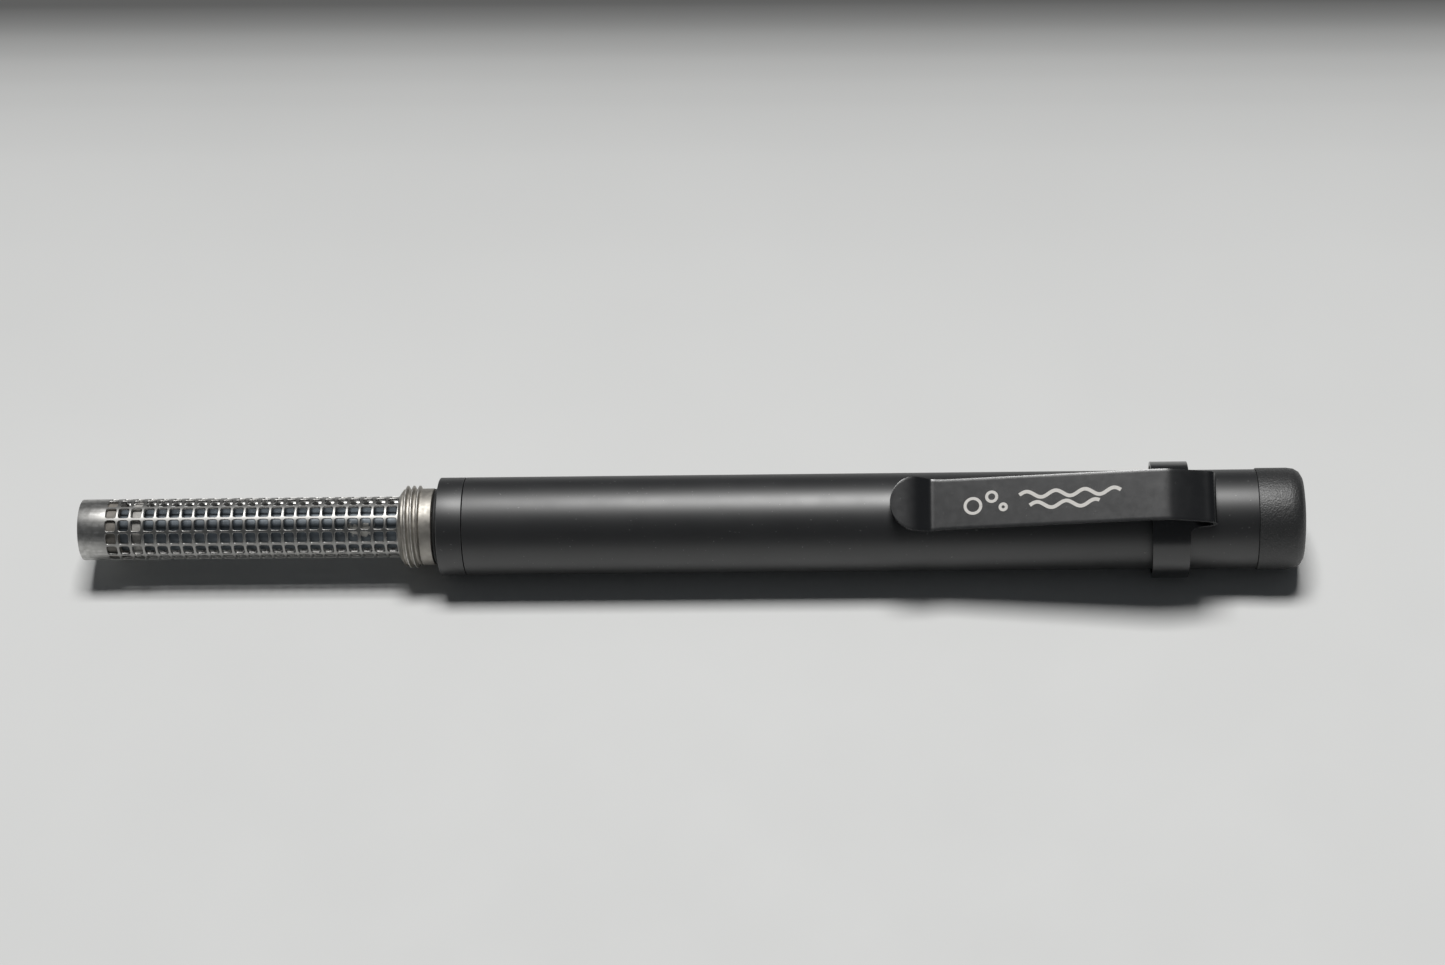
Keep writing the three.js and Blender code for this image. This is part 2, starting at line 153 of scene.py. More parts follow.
def rounded(corners, steps=4):
    """Rounds each (station, radius, cut) corner off by its cut; gives station, radius and edge wear."""
    points = []
    for i, corner in enumerate(corners):
        here = Vector(corner[:2])
        if len(corner) == 2:
            points.append((*here, 0.0))
            continue
        before = Vector(corners[i - 1][:2])
        after = Vector(corners[(i + 1) % len(corners)][:2])
        start = here + (before - here).normalized() * corner[2]
        end = here + (after - here).normalized() * corner[2]
        for k in range(steps + 1):
            t = k / steps
            point = start.lerp(here, t).lerp(here.lerp(end, t), t)
            points.append((*point, 1 - abs(2 * t - 1)))
    return points


def lathe(name, corners, sides=SIDES, sharp=38):
    """Turns a profile about the pen's axis. It starts and ends on the axis, or closes on itself."""
    bm = bmesh.new()
    wear = bm.verts.layers.float.new("wear")
    rings = []
    for station, radius, worn in rounded(corners):
        count = sides if radius > 0 else 1
        ring = [bm.verts.new(on_pen(station, radius, 2 * math.pi * k / sides)) for k in range(count)]
        for vert in ring:
            vert[wear] = worn
        rings.append(ring)
    stitch(bm, rings, back_to_first=corners[0][1] > 0)
    return mesh_object(name, bm, sharp)


# ---------------------------------------------------------------- material helpers
def new_material(name, color, roughness, metallic=0.0, specular=0.5):
    material = bpy.data.materials.new(name)
    material.use_nodes = True
    shader = material.node_tree.nodes["Principled BSDF"]
    shader.inputs["Base Color"].default_value = (*color, 1)
    shader.inputs["Roughness"].default_value = roughness
    shader.inputs["Metallic"].default_value = metallic
    shader.inputs["Specular IOR Level"].default_value = specular
    return material


def add(material, kind, links=(), **values):
    """Adds a node; links are (input, socket) pairs and values are its settings or plain inputs."""
    node = material.node_tree.nodes.new(kind)
    for key, value in values.items():
        setattr(node, key, value)
    for key, value in links:
        if isinstance(value, bpy.types.NodeSocket):
            material.node_tree.links.new(value, node.inputs[key])
        else:
            node.inputs[key].default_value = value
    return node


def shader_input(material, name):
    return material.node_tree.nodes["Principled BSDF"].inputs[name]


def feed(material, name, socket):
    material.node_tree.links.new(socket, shader_input(material, name))


def millimetres(material, per_mm):
    """The piece's own coordinates, scaled to so many noise cells a millimetre along each axis."""
    where = add(material, "ShaderNodeTexCoord").outputs["Object"]
    scale = tuple(cells / MM for cells in per_mm)
    return add(material, "ShaderNodeMapping", [("Vector", where), ("Scale", scale)]).outputs[0]


def noise(material, per_mm, detail):
    """Noise from 0 to 1; per_mm is its cells a millimetre, along each axis or the same along all three."""
    if not isinstance(per_mm, tuple):
        per_mm = (per_mm,) * 3
    links = [("Vector", millimetres(material, per_mm)), ("Scale", 1.0), ("Detail", detail)]
    return add(material, "ShaderNodeTexNoise", links).outputs["Fac"]


def remap(material, socket, from_low, from_high, low, high):
    links = [
        ("Value", socket), ("From Min", from_low), ("From Max", from_high), ("To Min", low), ("To Max", high),
    ]
    return add(material, "ShaderNodeMapRange", links).outputs["Result"]


def spread(material, socket, low=0, high=1):
    """Noise gathers round its middle, so its middle part is stretched over the range from low to high."""
    return remap(material, socket, 0.3, 0.7, low, high)


def mixed(material, factor, first, second, blend="MIX"):
    """Mix of two colours, each a colour or a socket; the factor is a number or a socket."""
    node = add(material, "ShaderNodeMix", [(0, factor)], data_type="RGBA", blend_type=blend)
    for index, value in ((6, first), (7, second)):
        if isinstance(value, bpy.types.NodeSocket):
            material.node_tree.links.new(value, node.inputs[index])
        else:
            node.inputs[index].default_value = (*value, 1)
    return node.outputs[2]


def times(material, first, second):
    return add(material, "ShaderNodeMath", [(0, first), (1, second)], operation="MULTIPLY").outputs[0]


def plus(material, first, second):
    return add(material, "ShaderNodeMath", [(0, first), (1, second)], operation="ADD").outputs[0]


def vector_math(material, operation, *inputs):
    return add(material, "ShaderNodeVectorMath", enumerate(inputs), operation=operation)


def finish(name, color, roughness, metallic=0.0, specular=0.5, tone=(0.4, 0.12), rough_spread=0.05,
           grain=(6, 0.002), relief=None, specks=None, wear=None, patches=()):
    """A surface with drifting tone, uneven roughness and fine relief; specks, edge wear and patches if given.

    tone: noise cells a mm, and share by which the colour drifts. rough_spread: how far the roughness drifts.
    grain and relief: cells a mm, and depth in mm. specks: cells a mm, threshold, colour.
    wear: colour of the rounded edges. patches: centre, radii in mm, colour."""
    material = new_material(name, color, roughness, metallic, specular)
    cells, share = tone
    light = tuple(c * (1 + share) for c in color)
    dark = tuple(c * (1 - share) for c in color)
    shade = mixed(material, spread(material, noise(material, cells, 4)), dark, light)
    if specks:
        speck_cells, threshold, speck_color = specks
        soft_edge = 0.04
        spots = remap(material, noise(material, speck_cells, 1), threshold, threshold + soft_edge, 0, 1)
        shade = mixed(material, spots, shade, speck_color)
    for centre, radii, patch_color in patches:
        shade = mixed(material, patch_mask(material, centre, radii), shade, patch_color)
    if wear:
        edge = add(material, "ShaderNodeAttribute", attribute_name="wear").outputs["Fac"]
        least_from, full_from, least = 0.35, 0.7, 0.15
        uneven = remap(material, noise(material, 1.2, 5), least_from, full_from, least, 1)
        shade = mixed(material, times(material, edge, uneven), shade, wear)
    feed(material, "Base Color", shade)
    patchy = noise(material, cells * 2.5, 5)
    feed(material, "Roughness", spread(material, patchy, roughness - rough_spread, roughness + rough_spread))
    feed(material, "Normal", bumped(material, grain, relief))
    return material


def patch_mask(material, centre, radii):
    """1 inside a ragged ellipsoid round a point, 0 outside."""
    where = add(material, "ShaderNodeTexCoord").outputs["Object"]
    per_radius = tuple(1 / (r * MM) for r in radii)
    offset = vector_math(material, "SUBTRACT", where, tuple(centre)).outputs[0]
    unit = vector_math(material, "MULTIPLY", offset, per_radius).outputs[0]
    reach = vector_math(material, "LENGTH", unit).outputs["Value"]
    ragged = spread(material, noise(material, 1.5, 4), -0.5, 0.5)
    inside, outside = 0.8, 1.1
    return remap(material, plus(material, reach, ragged), inside, outside, 1, 0)


def bumped(material, grain, relief):
    """Normal from one or two layers of noise, each with its own depth in millimetres."""
    normal = None
    for layer in (relief, grain):
        if not layer:
            continue
        per_mm, depth = layer
        links = [("Height", noise(material, per_mm, 2)), ("Distance", depth * MM), ("Strength", 1.0)]
        if normal:
            links.append(("Normal", normal))
        normal = add(material, "ShaderNodeBump", links).outputs["Normal"]
    return normal


# ---------------------------------------------------------------- materials
WARM_STEEL = (0.44, 0.42, 0.385)
tube_steel = finish("tube_steel", (0.37, 0.366, 0.354), 0.4, 1.0, tone=(0.25, 0.06), rough_spread=0.02,
                    grain=((14, 0.8, 0.8), 0.0008), wear=(0.66, 0.655, 0.64))
turned_steel = finish("turned_steel", WARM_STEEL, 0.56, 1.0, tone=(0.5, 0.15), rough_spread=0.08,
                      grain=((22, 0.5, 0.5), 0.0025), wear=(0.85, 0.83, 0.8))
anodised = finish("anodised", (0.0085, 0.009, 0.01), 0.45, 0.0, 1.1, tone=(0.06, 0.1), rough_spread=0.02,
                  grain=(16, 0.0022), relief=(5, 0.002), specks=(2.2, 0.745, (0.11, 0.11, 0.11)),
                  wear=(0.13, 0.13, 0.135))
cap_plastic = finish("cap_plastic", (0.014, 0.0145, 0.015), 0.5, 0.0, 0.92, tone=(1.5, 0.15),
                     grain=(3.2, 0.075), specks=(5, 0.66, (0.05, 0.05, 0.05)))
button_plastic = finish("button_plastic", (0.03, 0.031, 0.033), 0.5, grain=(8, 0.004))
clip_coating = finish("clip_coating", (0.008, 0.0085, 0.0095), 0.24, 0.0, 0.95, tone=(0.3, 0.06),
                      rough_spread=0.012, grain=(13, 0.002), specks=(2.6, 0.77, (0.1, 0.1, 0.1)))
seal_rubber = finish("seal_rubber", (0.012, 0.012, 0.012), 0.6, grain=(5, 0.004))
plug_resin = finish("plug_resin", (0.2, 0.185, 0.165), 0.6, tone=(1.2, 0.25), grain=(3, 0.02))
spacer_grey = finish("spacer_grey", (0.36, 0.35, 0.33), 0.5, tone=(1.5, 0.2), grain=(4, 0.008))
dried_residue = (on_pen(46.5, 3.5, math.radians(44)), (2.6, 1.1, 1.1), (0.5, 0.49, 0.46))
rod_coating = finish("rod_coating", (0.1, 0.118, 0.135), 0.4, 0.3, 0.6, tone=(0.5, 0.3), rough_spread=0.08,
                     grain=((2, 9, 9), 0.003), patches=(dried_residue,))
insulator_white = finish("insulator_white", (0.72, 0.7, 0.66), 0.5, tone=(0.8, 0.08), grain=(3, 0.006))
brass = finish("brass", (0.72, 0.52, 0.24), 0.3, 1.0, tone=(0.8, 0.12), grain=(9, 0.001))
red_silicone = finish("red_silicone", (0.4, 0.03, 0.02), 0.5, grain=(6, 0.003))
black_silicone = finish("black_silicone", (0.018, 0.018, 0.019), 0.5, grain=(6, 0.003))
natural_nylon = finish("natural_nylon", (0.7, 0.69, 0.63), 0.5, tone=(0.4, 0.06), grain=(3, 0.005))
cell_wrap = finish("cell_wrap", (0.04, 0.15, 0.36), 0.3, tone=(0.4, 0.1), grain=((0.6, 3, 3), 0.004))
bright_nickel = finish("bright_nickel", (0.66, 0.65, 0.62), 0.25, 1.0, grain=(8, 0.001))
solder_mask = finish("solder_mask", (0.015, 0.11, 0.05), 0.35, tone=(1.1, 0.35),
                     specks=(1.6, 0.7, (0.5, 0.42, 0.2)), grain=(7, 0.003))
ferrite = finish("ferrite", (0.05, 0.05, 0.053), 0.6, grain=(7, 0.006))
chip_epoxy = finish("chip_epoxy", (0.014, 0.0145, 0.016), 0.5, grain=(10, 0.003))
can_sleeve = finish("can_sleeve", (0.05, 0.06, 0.2), 0.35, tone=(0.6, 0.15), grain=((0.8, 5, 5), 0.003))
diffuser = finish("diffuser", (0.7, 0.75, 0.78), 0.35, tone=(0.9, 0.06), grain=(4, 0.003))
stamped_steel = finish("stamped_steel", (0.6, 0.6, 0.58), 0.32, 1.0, grain=((10, 2, 2), 0.002))
mark_print = finish("mark_print", (0.66, 0.64, 0.61), 0.55, tone=(2.5, 0.05), grain=(14, 0.002))


# ---------------------------------------------------------------- placing pieces
def place(piece, body, slot, material, *nodes):
    """Gives a piece its finish and its body, and hides the CAD nodes that it stands for."""
    piece.data.materials.append(material)
    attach(piece, body)
    if nodes:
        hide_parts(*nodes)


# ---------------------------------------------------------------- perforated tube
ROWS = 14
COLUMNS = 23
PITCH = 2.106
FIRST_COLUMN = 5.46
TUBE_R = 5.0
TUBE_BORE_R = 4.62
ROW_TURN = math.radians(5.5)
PER_SIDE = 8          # steps along each side of one cell of the tube
ROUNDING = 5.0        # exponent of the openings' outline: 2 is an ellipse, more is squarer


def cell_rim():
    """Points round a cell, each coordinate from -1 to 1."""
    side = [-1 + 2 * k / PER_SIDE for k in range(PER_SIDE)]
    return ([(1, t) for t in side] + [(-t, 1) for t in side]
            + [(-1, -t) for t in side] + [(t, -1) for t in side])


def cell_ring(bm, station, phi, opening, radius, worn):
    """One loop of a cell: the cell's own border, or the outline of its opening at this radius."""
    wear = bm.verts.layers.float["wear"]
    ring = []
    for a, b in cell_rim():
        if opening:
            shrink = (abs(a) ** ROUNDING + abs(b) ** ROUNDING) ** (-1 / ROUNDING)
            along = a * shrink * opening[0] / 2
            turn = b * shrink * opening[1] / 2 / radius
        else:
            along = a * PITCH / 2
            turn = b * math.pi / ROWS
        vert = bm.verts.new(on_pen(station + along, radius, phi + turn))
        vert[wear] = worn
        ring.append(vert)
    return ring


def plain_band(bm, profile):
    """Unpierced end of the tube, with its vertices in line with the cells'."""
    wear = bm.verts.layers.float["wear"]
    count = ROWS * PER_SIDE
    top = math.pi / 2 + ROW_TURN
    rings = []
    for station, radius in profile:
        ring = [bm.verts.new(on_pen(station, radius, top + 2 * math.pi * k / count)) for k in range(count)]
        for vert in ring:
            vert[wear] = 1.0
        rings.append(ring)
    stitch(bm, rings)


def perforated_tube():
    # Each cell from its outer border to its inner one: the opening's length and width, radius, edge wear
    loops = (
        (None, TUBE_R, 0.0),
        ((1.84, 1.96), TUBE_R, 0.0),
        ((1.77, 1.89), TUBE_R - 0.025, 0.7),
        ((1.69, 1.82), TUBE_R - 0.09, 0.5),
        ((1.6, 1.74), TUBE_BORE_R + 0.04, 0.0),
        ((1.6, 1.74), TUBE_BORE_R, 0.0),
        (None, TUBE_BORE_R, 0.0),
    )
    bm = bmesh.new()
    bm.verts.layers.float.new("wear")
    for row in range(ROWS):
        phi = math.pi / 2 + ROW_TURN - (row + 0.5) * 2 * math.pi / ROWS
        for column in range(COLUMNS):
            station = FIRST_COLUMN + column * PITCH
            stitch(bm, [cell_ring(bm, station, phi, *loop) for loop in loops])
    front = FIRST_COLUMN - PITCH / 2
    back = FIRST_COLUMN + (COLUMNS - 0.5) * PITCH
    tube_end = span("guard_tube")[1]
    rounded_lip = (
        (0.07, TUBE_R), (0.03, TUBE_R - 0.015), (0, TUBE_R - 0.06),
        (0, TUBE_BORE_R + 0.07), (0.03, TUBE_BORE_R + 0.02), (0.1, TUBE_BORE_R),
    )
    plain_band(bm, [(front, TUBE_R), *rounded_lip, (front, TUBE_BORE_R)])
    plain_band(bm, [(back, TUBE_BORE_R), (tube_end, TUBE_BORE_R), (tube_end, TUBE_R), (back, TUBE_R)])
    piece = mesh_object("tube_perforated", bm, sharp=30)
    place(piece, "handle", "steel_brushed", tube_steel, "guard_tube")


# ---------------------------------------------------------------- threaded collar
THREAD_PITCH = 1.0
THREAD_ROOT_R = 6.15
THREAD_TOP_R = 6.75
THREAD_START = 53.1
THREAD_STOP = 56.4
TOP_CREST = 53.95     # station of the first crest at the angle TOP_PHI
TOP_PHI = math.radians(140)


def thread_radius(station, phi):
    """Right-handed thread: rounded ridge on the root cylinder, with a chamfered start and a run-out."""
    crest_half, foot_half, run_out = 0.07, 0.34, 0.2
    chamfer_r, chamfer_slope = 5.75, 1.4
    crest = TOP_CREST - (phi - TOP_PHI) / (2 * math.pi) * THREAD_PITCH
    turns = (station - crest) / THREAD_PITCH
    off = abs(turns - round(turns)) * THREAD_PITCH
    ridge = min(1, max(0, (foot_half - off) / (foot_half - crest_half)))
    ridge *= min(1, max(0, (THREAD_STOP - station) / run_out))
    radius = THREAD_ROOT_R + (THREAD_TOP_R - THREAD_ROOT_R) * ridge
    return min(radius, chamfer_r + (station - THREAD_START) * chamfer_slope)


def threaded_collar():
    """Socket for the tube's end, thread, plain band and the neck that sits in the barrel."""
    start, end, _ = span("threaded_collar")
    socket_end, socket_r = 56.7, 5.06
    front_r, thread_foot_r = 5.5, 5.7
    band_r, band_end = 6.25, 58.4
    neck_r, neck_bore_r = 5.05, 4.35
    step, edge, worn_depth = 0.06, 0.08, 0.05
    thread_steps = 72
    profile = [
        (socket_end, socket_r), (start, socket_r), (start, front_r), (THREAD_START - step, thread_foot_r),
    ]
    for k in range(thread_steps + 1):
        profile.append((THREAD_START + (THREAD_STOP - THREAD_START) * k / thread_steps, None))
    profile += [
        (THREAD_STOP + step, band_r), (band_end - edge, band_r), (band_end, band_r - edge),
        (band_end, neck_r), (end, neck_r), (end, neck_bore_r), (socket_end, neck_bore_r),
    ]
    bm = bmesh.new()
    wear = bm.verts.layers.float.new("wear")
    rings = []
    for station, radius in profile:
        ring = []
        for k in range(SIDES):
            phi = 2 * math.pi * k / SIDES
            here = thread_radius(station, phi) if radius is None else radius
            vert = bm.verts.new(on_pen(station, here, phi))
            vert[wear] = 1.0 if here > THREAD_TOP_R - worn_depth else 0.0
            ring.append(vert)
        rings.append(ring)
    stitch(bm, rings, back_to_first=True)
    piece = mesh_object("collar_threaded", bm, sharp=42)
    place(piece, "handle", "steel_brushed", turned_steel, "threaded_collar")


# ---------------------------------------------------------------- turned pieces
ROD_HOLE_R = 3.65         # holes that the anode rod passes through


def oval_ring(name, node, body, slot, material):
    """O-ring of oval section that fills the box of its CAD node."""
    start, end, outer = span(node)
    low = min(vert.co.y ** 2 + (vert.co.z - AXIS_Z) ** 2 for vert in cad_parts[node].data.vertices)
    inner = math.sqrt(low) / MM
    section = 24
    middle, mean = (start + end) / 2, (outer + inner) / 2
    profile = []
    for k in range(section):
        a = 2 * math.pi * k / section
        profile.append((middle + (end - start) / 2 * math.cos(a), mean + (outer - inner) / 2 * math.sin(a)))
    place(lathe(name, profile), body, slot, material, node)


def head_ring():
    """Black ring with a shallow recess in its face, and a spigot with a groove for the barrel's seal."""
    _, end, radius = span("head_ring")
    rim, recess, recess_r = 59.4, 59.7, 6.95
    shoulder, spigot_r, bore_r = 63.55, 6.8, 5.25
    groove, groove_end, groove_r = 65, 66.2, 5.9
    ring = lathe("ring_head", [
        (recess, bore_r), (recess, recess_r), (rim, recess_r, 0.05), (rim, radius, 0.16),
        (shoulder, radius, 0.06), (shoulder, spigot_r), (groove, spigot_r, 0.1), (groove, groove_r),
        (groove_end, groove_r), (groove_end, spigot_r, 0.1), (end, spigot_r, 0.2), (end, bore_r),
    ])
    place(ring, "handle", "anodised_black", anodised, "head_ring")


def tip_plug():
    """Resin plug that fills the tube's round bore, with a blind hole for the rod's end."""
    start, end, radius = span("tip_plug")
    beyond_cad, hole_end = 0.22, 3
    radius += beyond_cad
    plug = lathe("plug_tip", [
        (start, 0), (start, radius, 0.35), (end, radius, 0.2), (end, ROD_HOLE_R),
        (hole_end, ROD_HOLE_R), (hole_end, 0),
    ])
    place(plug, "handle", "plug_resin", plug_resin, "tip_plug")


def front_spacer():
    start, end, radius = span("front_spacer")
    spacer = lathe("spacer_front", [
        (start, ROD_HOLE_R), (start, radius, 0.15), (end, radius, 0.15), (end, ROD_HOLE_R),
    ])
    place(spacer, "handle", "spacer_ptfe", spacer_grey, "front_spacer")


def anode_rod():
    """Coated rod that ends in a terminal stud."""
    start, end, radius = span("anode_rod")
    shoulder, stud_r = 70, 1.5
    rod = lathe("rod_anode", [
        (start, 0), (start, radius, 0.3), (shoulder, radius, 0.3), (shoulder, stud_r),
        (end, stud_r, 0.2), (end, 0),
    ])
    place(rod, "handle", "anode_coating", rod_coating, "anode_rod")


def rear_insulator():
    """Sleeve between the rod and the collar's neck, flanged at its rear end."""
    start, end, radius = span("rear_insulator")
    sleeve_r, flange, rod_seat, stud_hole_r = 4.2, 70.5, 70.15, 1.65
    sleeve = lathe("sleeve_insulator", [
        (start, ROD_HOLE_R), (start, sleeve_r, 0.1), (flange, sleeve_r), (flange, radius, 0.2),
        (end, radius, 0.2), (end, stud_hole_r), (rod_seat, stud_hole_r), (rod_seat, ROD_HOLE_R),
    ])
    place(sleeve, "handle", "insulator_white", insulator_white, "rear_insulator")


def barrel_sleeve():
    start, end, radius = span("barrel")
    bore_r = 7
    sleeve = lathe("sleeve_barrel", [
        (start, bore_r, 0.08), (start, radius, 0.06), (end, radius, 0.06), (end, bore_r, 0.08),
    ])
    place(sleeve, "handle", "anodised_black", anodised, "barrel")


def tail_cap():
    """Cap on a ridged spigot that goes into the barrel, with a hole that the light ring shows through."""
    start, end, radius = span("tail_cap")
    bore_r, spigot_r, ridge_r, ridge_half = 5.6, 6.6, 6.85, 0.25
    groove, groove_r, seam = 190.4, 6, 191.86
    ring_seat, ring_hole_r, corner = 197.4, 4.95, 2.6
    profile = [(start, bore_r), (start, spigot_r, 0.15)]
    for ridge in (start + 0.6, start + 1.6):
        profile += [(ridge - ridge_half, spigot_r), (ridge, ridge_r, 0.05), (ridge + ridge_half, spigot_r)]
    profile += [
        (groove, spigot_r), (groove, groove_r), (seam, groove_r), (seam, radius, 0.05), (end, radius, corner),
        (end, ring_hole_r, 0.12), (ring_seat, ring_hole_r), (ring_seat, bore_r),
    ]
    place(lathe("cap_tail", profile), "cap", "cap_plastic", cap_plastic, "tail_cap")


def light_ring():
    start, end, _ = span("light_ring")
    hole_r, ring_r, flange_end, flange_r = 3.25, 4.8, 197.3, 5.4
    ring = lathe("ring_light", [
        (start, hole_r), (start, flange_r, 0.1), (flange_end, flange_r), (flange_end, ring_r),
        (end, ring_r, 0.15), (end, hole_r, 0.15),
    ])
    place(ring, "cap", "lens_clear", diffuser, "light_ring")


def power_button():
    """Button with a stem, a flange that keeps it behind the light ring, and a dished face."""
    start, end, _ = span("power_button")
    stem_r, flange, flange_end, flange_r, head_r = 1.6, 195, 196.2, 4.2, 3.1
    dish_r, dish_foot_r, dish_foot, dish_middle = 2.3, 1.9, end - 0.15, end - 0.22
    button = lathe("button_power", [
        (start, 0), (start, stem_r, 0.15), (flange, stem_r), (flange, flange_r, 0.1),
        (flange_end, flange_r, 0.1), (flange_end, head_r), (end, head_r, 0.3), (end, dish_r, 0.1),
        (dish_foot, dish_foot_r, 0.3), (dish_middle, 0),
    ])
    place(button, "button", "button_plastic", button_plastic, "power_button")


# ---------------------------------------------------------------- pocket clip
SHEET = 0.6
ARM_TIP = 133.0
PADDLE_CENTRE = 137.0
PADDLE_HALF = 4.5
BLADE_HALF = 4.2
TONGUE_ROOT_HALF = 4.75   # the tongue flares to this where it leaves the band
BEND_STATION = 183.25
BEND_HEIGHT = 10.32
BEND_R = 1.52
BEND_FROM = math.radians(78)    # where the falling arm runs into the bend
BAND_INNER_R = 8.8
BAND_START = 174.65
BAND_STOP = 180.8
BAND_TAPER = 0.5          # the band is this much narrower at its feet
BAND_HALF_SPAN = math.radians(130)
FOOT_SPAN = math.radians(8)
FOOT_R = 8.08
ACROSS = 16               # steps across the strip
# Height of the arm's outer face above the axis at each station; the last is where the bend begins
ARM_LINE = (
    (133, 10.4), (136.8, 9.8), (138.6, 9.05), (139.3, 8.74), (139.7, 8.68), (140.2, 8.73),
    (174.6, 13.08), (176.2, 13.2), (177.6, 13.13), (180.4, 12.56), (182.6, 11.99), (183.566, 11.807),
)


def arm_height(station):
    """Smooth curve through ARM_LINE."""
    x = [point[0] for point in ARM_LINE]
    y = [point[1] for point in ARM_LINE]
    i = min(max(int(np.searchsorted(x, station)) - 1, 0), len(x) - 2)

    def slope(k):
        a, b = max(k - 1, 0), min(k + 1, len(x) - 1)
        return (y[b] - y[a]) / (x[b] - x[a])

    width = x[i + 1] - x[i]
    t = (station - x[i]) / width
    rise = (1 + 2 * t) * (1 - t) ** 2 * y[i] + t * t * (3 - 2 * t) * y[i + 1]
    return rise + width * (t * (1 - t) ** 2 * slope(i) - t * t * (1 - t) * slope(i + 1))


def ease(t):
    t = min(1, max(0, t))
    return t * t * (3 - 2 * t)


def arm_half(station):
    """Half the arm's width: a round paddle that narrows to the blade."""
    if station < PADDLE_CENTRE:
        off = (PADDLE_CENTRE - station) / (PADDLE_CENTRE - ARM_TIP)
        return PADDLE_HALF * math.sqrt(max(0, 1 - off ** 2))
    narrowing = 5
    return PADDLE_HALF + (BLADE_HALF - PADDLE_HALF) * ease((station - PADDLE_CENTRE) / narrowing)


def arm_stations():
    tip_steps, blade_step, into_bend = 14, 0.25, 0.2
    reach = PADDLE_CENTRE - ARM_TIP
    tip = [PADDLE_CENTRE - reach * math.cos(math.pi / 2 * k / tip_steps) for k in range(1, tip_steps)]
    return tip + list(np.arange(PADDLE_CENTRE, BEND_STATION + into_bend, blade_step))


def band_radius(station, angle):
    """Inner radius of the band, with its feet turned in and a dimple pressed in under the arm."""
    into_foot = max(0, abs(angle) - (BAND_HALF_SPAN - FOOT_SPAN)) / FOOT_SPAN
    grip, dimple_r = BAND_INNER_R - FOOT_R, 1.3
    off = math.hypot(station - (BAND_START + BAND_STOP) / 2, BAND_INNER_R * angle)
    return BAND_INNER_R - grip * into_foot - grip * ease(dimple_r - off)


def on_band(station, angle):
    radius = band_radius(station, angle)
    return on_clip(station, radius * math.sin(angle), radius * math.cos(angle))


def strip_rows(bm):
    """Rows of vertices across the strip's outer face, from the paddle round the U-bend to the band."""
    across = [-1 + 2 * k / ACROSS for k in range(ACROSS + 1)]

    def row(station, half, height):
        return [bm.verts.new(on_clip(station, half * t, height)) for t in across]

    rows = [row(station, arm_half(station), arm_height(station)) for station in arm_stations()]
    bend_steps = 12
    for k in range(bend_steps + 1):
        a = BEND_FROM - (BEND_FROM + math.pi / 2) * k / bend_steps
        rows.append(row(BEND_STATION + BEND_R * math.cos(a), BLADE_HALF, BEND_HEIGHT + BEND_R * math.sin(a)))
    tongue_steps = 8
    for k in range(1, tongue_steps + 1):
        t = k / tongue_steps
        station = BEND_STATION + (BAND_STOP - BEND_STATION) * t
        half = BLADE_HALF + (TONGUE_ROOT_HALF - BLADE_HALF) * max(0, 2 * t - 1) ** 2
        ring = []
        for u in across:
            flat = on_clip(station, half * u, BEND_HEIGHT - BEND_R)
            curved = on_band(station, half * u / BAND_INNER_R)
            ring.append(bm.verts.new(flat.lerp(curved, ease(t))))
        rows.append(ring)
    return rows


def band_rows(bm):
    """Rows round the band's inner face, the same face of the strip as the arm's outer one. The columns in
    the middle meet the tongue's."""
    root = TONGUE_ROOT_HALF / BAND_INNER_R
    middle = [root * (-1 + 2 * k / ACROSS) for k in range(ACROSS + 1)]
    steps = 30
    wing = [root + (BAND_HALF_SPAN - root) * (k + 1) / steps for k in range(steps)]
    angles = [-a for a in reversed(wing)] + middle + wing
    length_steps = 12
    stations = [BAND_STOP + (BAND_START - BAND_STOP) * k / length_steps for k in range(length_steps + 1)]
    rows = []
    for station in stations:
        taper = BAND_TAPER * (BAND_STOP - station) / (BAND_STOP - BAND_START)
        row = []
        for angle in angles:
            row.append(bm.verts.new(on_band(station + taper * abs(angle) / BAND_HALF_SPAN, angle)))
        rows.append(row)
    return rows


def clip_strip():
    """The whole clip as one bent strip: the sheet is thickened and its edges are rounded."""
    bm = bmesh.new()
    stitch(bm, strip_rows(bm), around=False)
    stitch(bm, band_rows(bm), around=False)
    sheet = mesh_object("clip_sheet", bm, tidy_normals=False)
    thick = sheet.modifiers.new("thickness", "SOLIDIFY")
    thick.thickness = SHEET * MM
    thick.offset = -1
    thick.use_even_offset = True
    edge = sheet.modifiers.new("edges", "BEVEL")
    edge.width = 0.28 * MM
    edge.segments = 4
    edge.limit_method = "ANGLE"
    edge.angle_limit = math.radians(50)
    solid = bpy.data.meshes.new_from_object(sheet.evaluated_get(bpy.context.evaluated_depsgraph_get()))
    bpy.data.objects.remove(sheet)
    piece = smooth_object("clip_strip", solid, 40)
    piece.data.materials.append(clip_coating)
    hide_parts("clip_band", "clip_arm")
    # The bend turns with the arm between two heights, on a line that leans slightly towards the tip
    lean = 0.06
    start_height, rise = 9.916, 0.727
    start = on_clip(BEND_STATION, 0, start_height)
    end = on_clip(BEND_STATION - lean * rise, 0, start_height + rise)
    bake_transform(piece, "band", "arm", start=start, end=end)


# ---------------------------------------------------------------- printed mark on the arm
def on_arm_face(station, across):
    lift = 0.012
    return on_clip(station, across, arm_height(station) + lift)


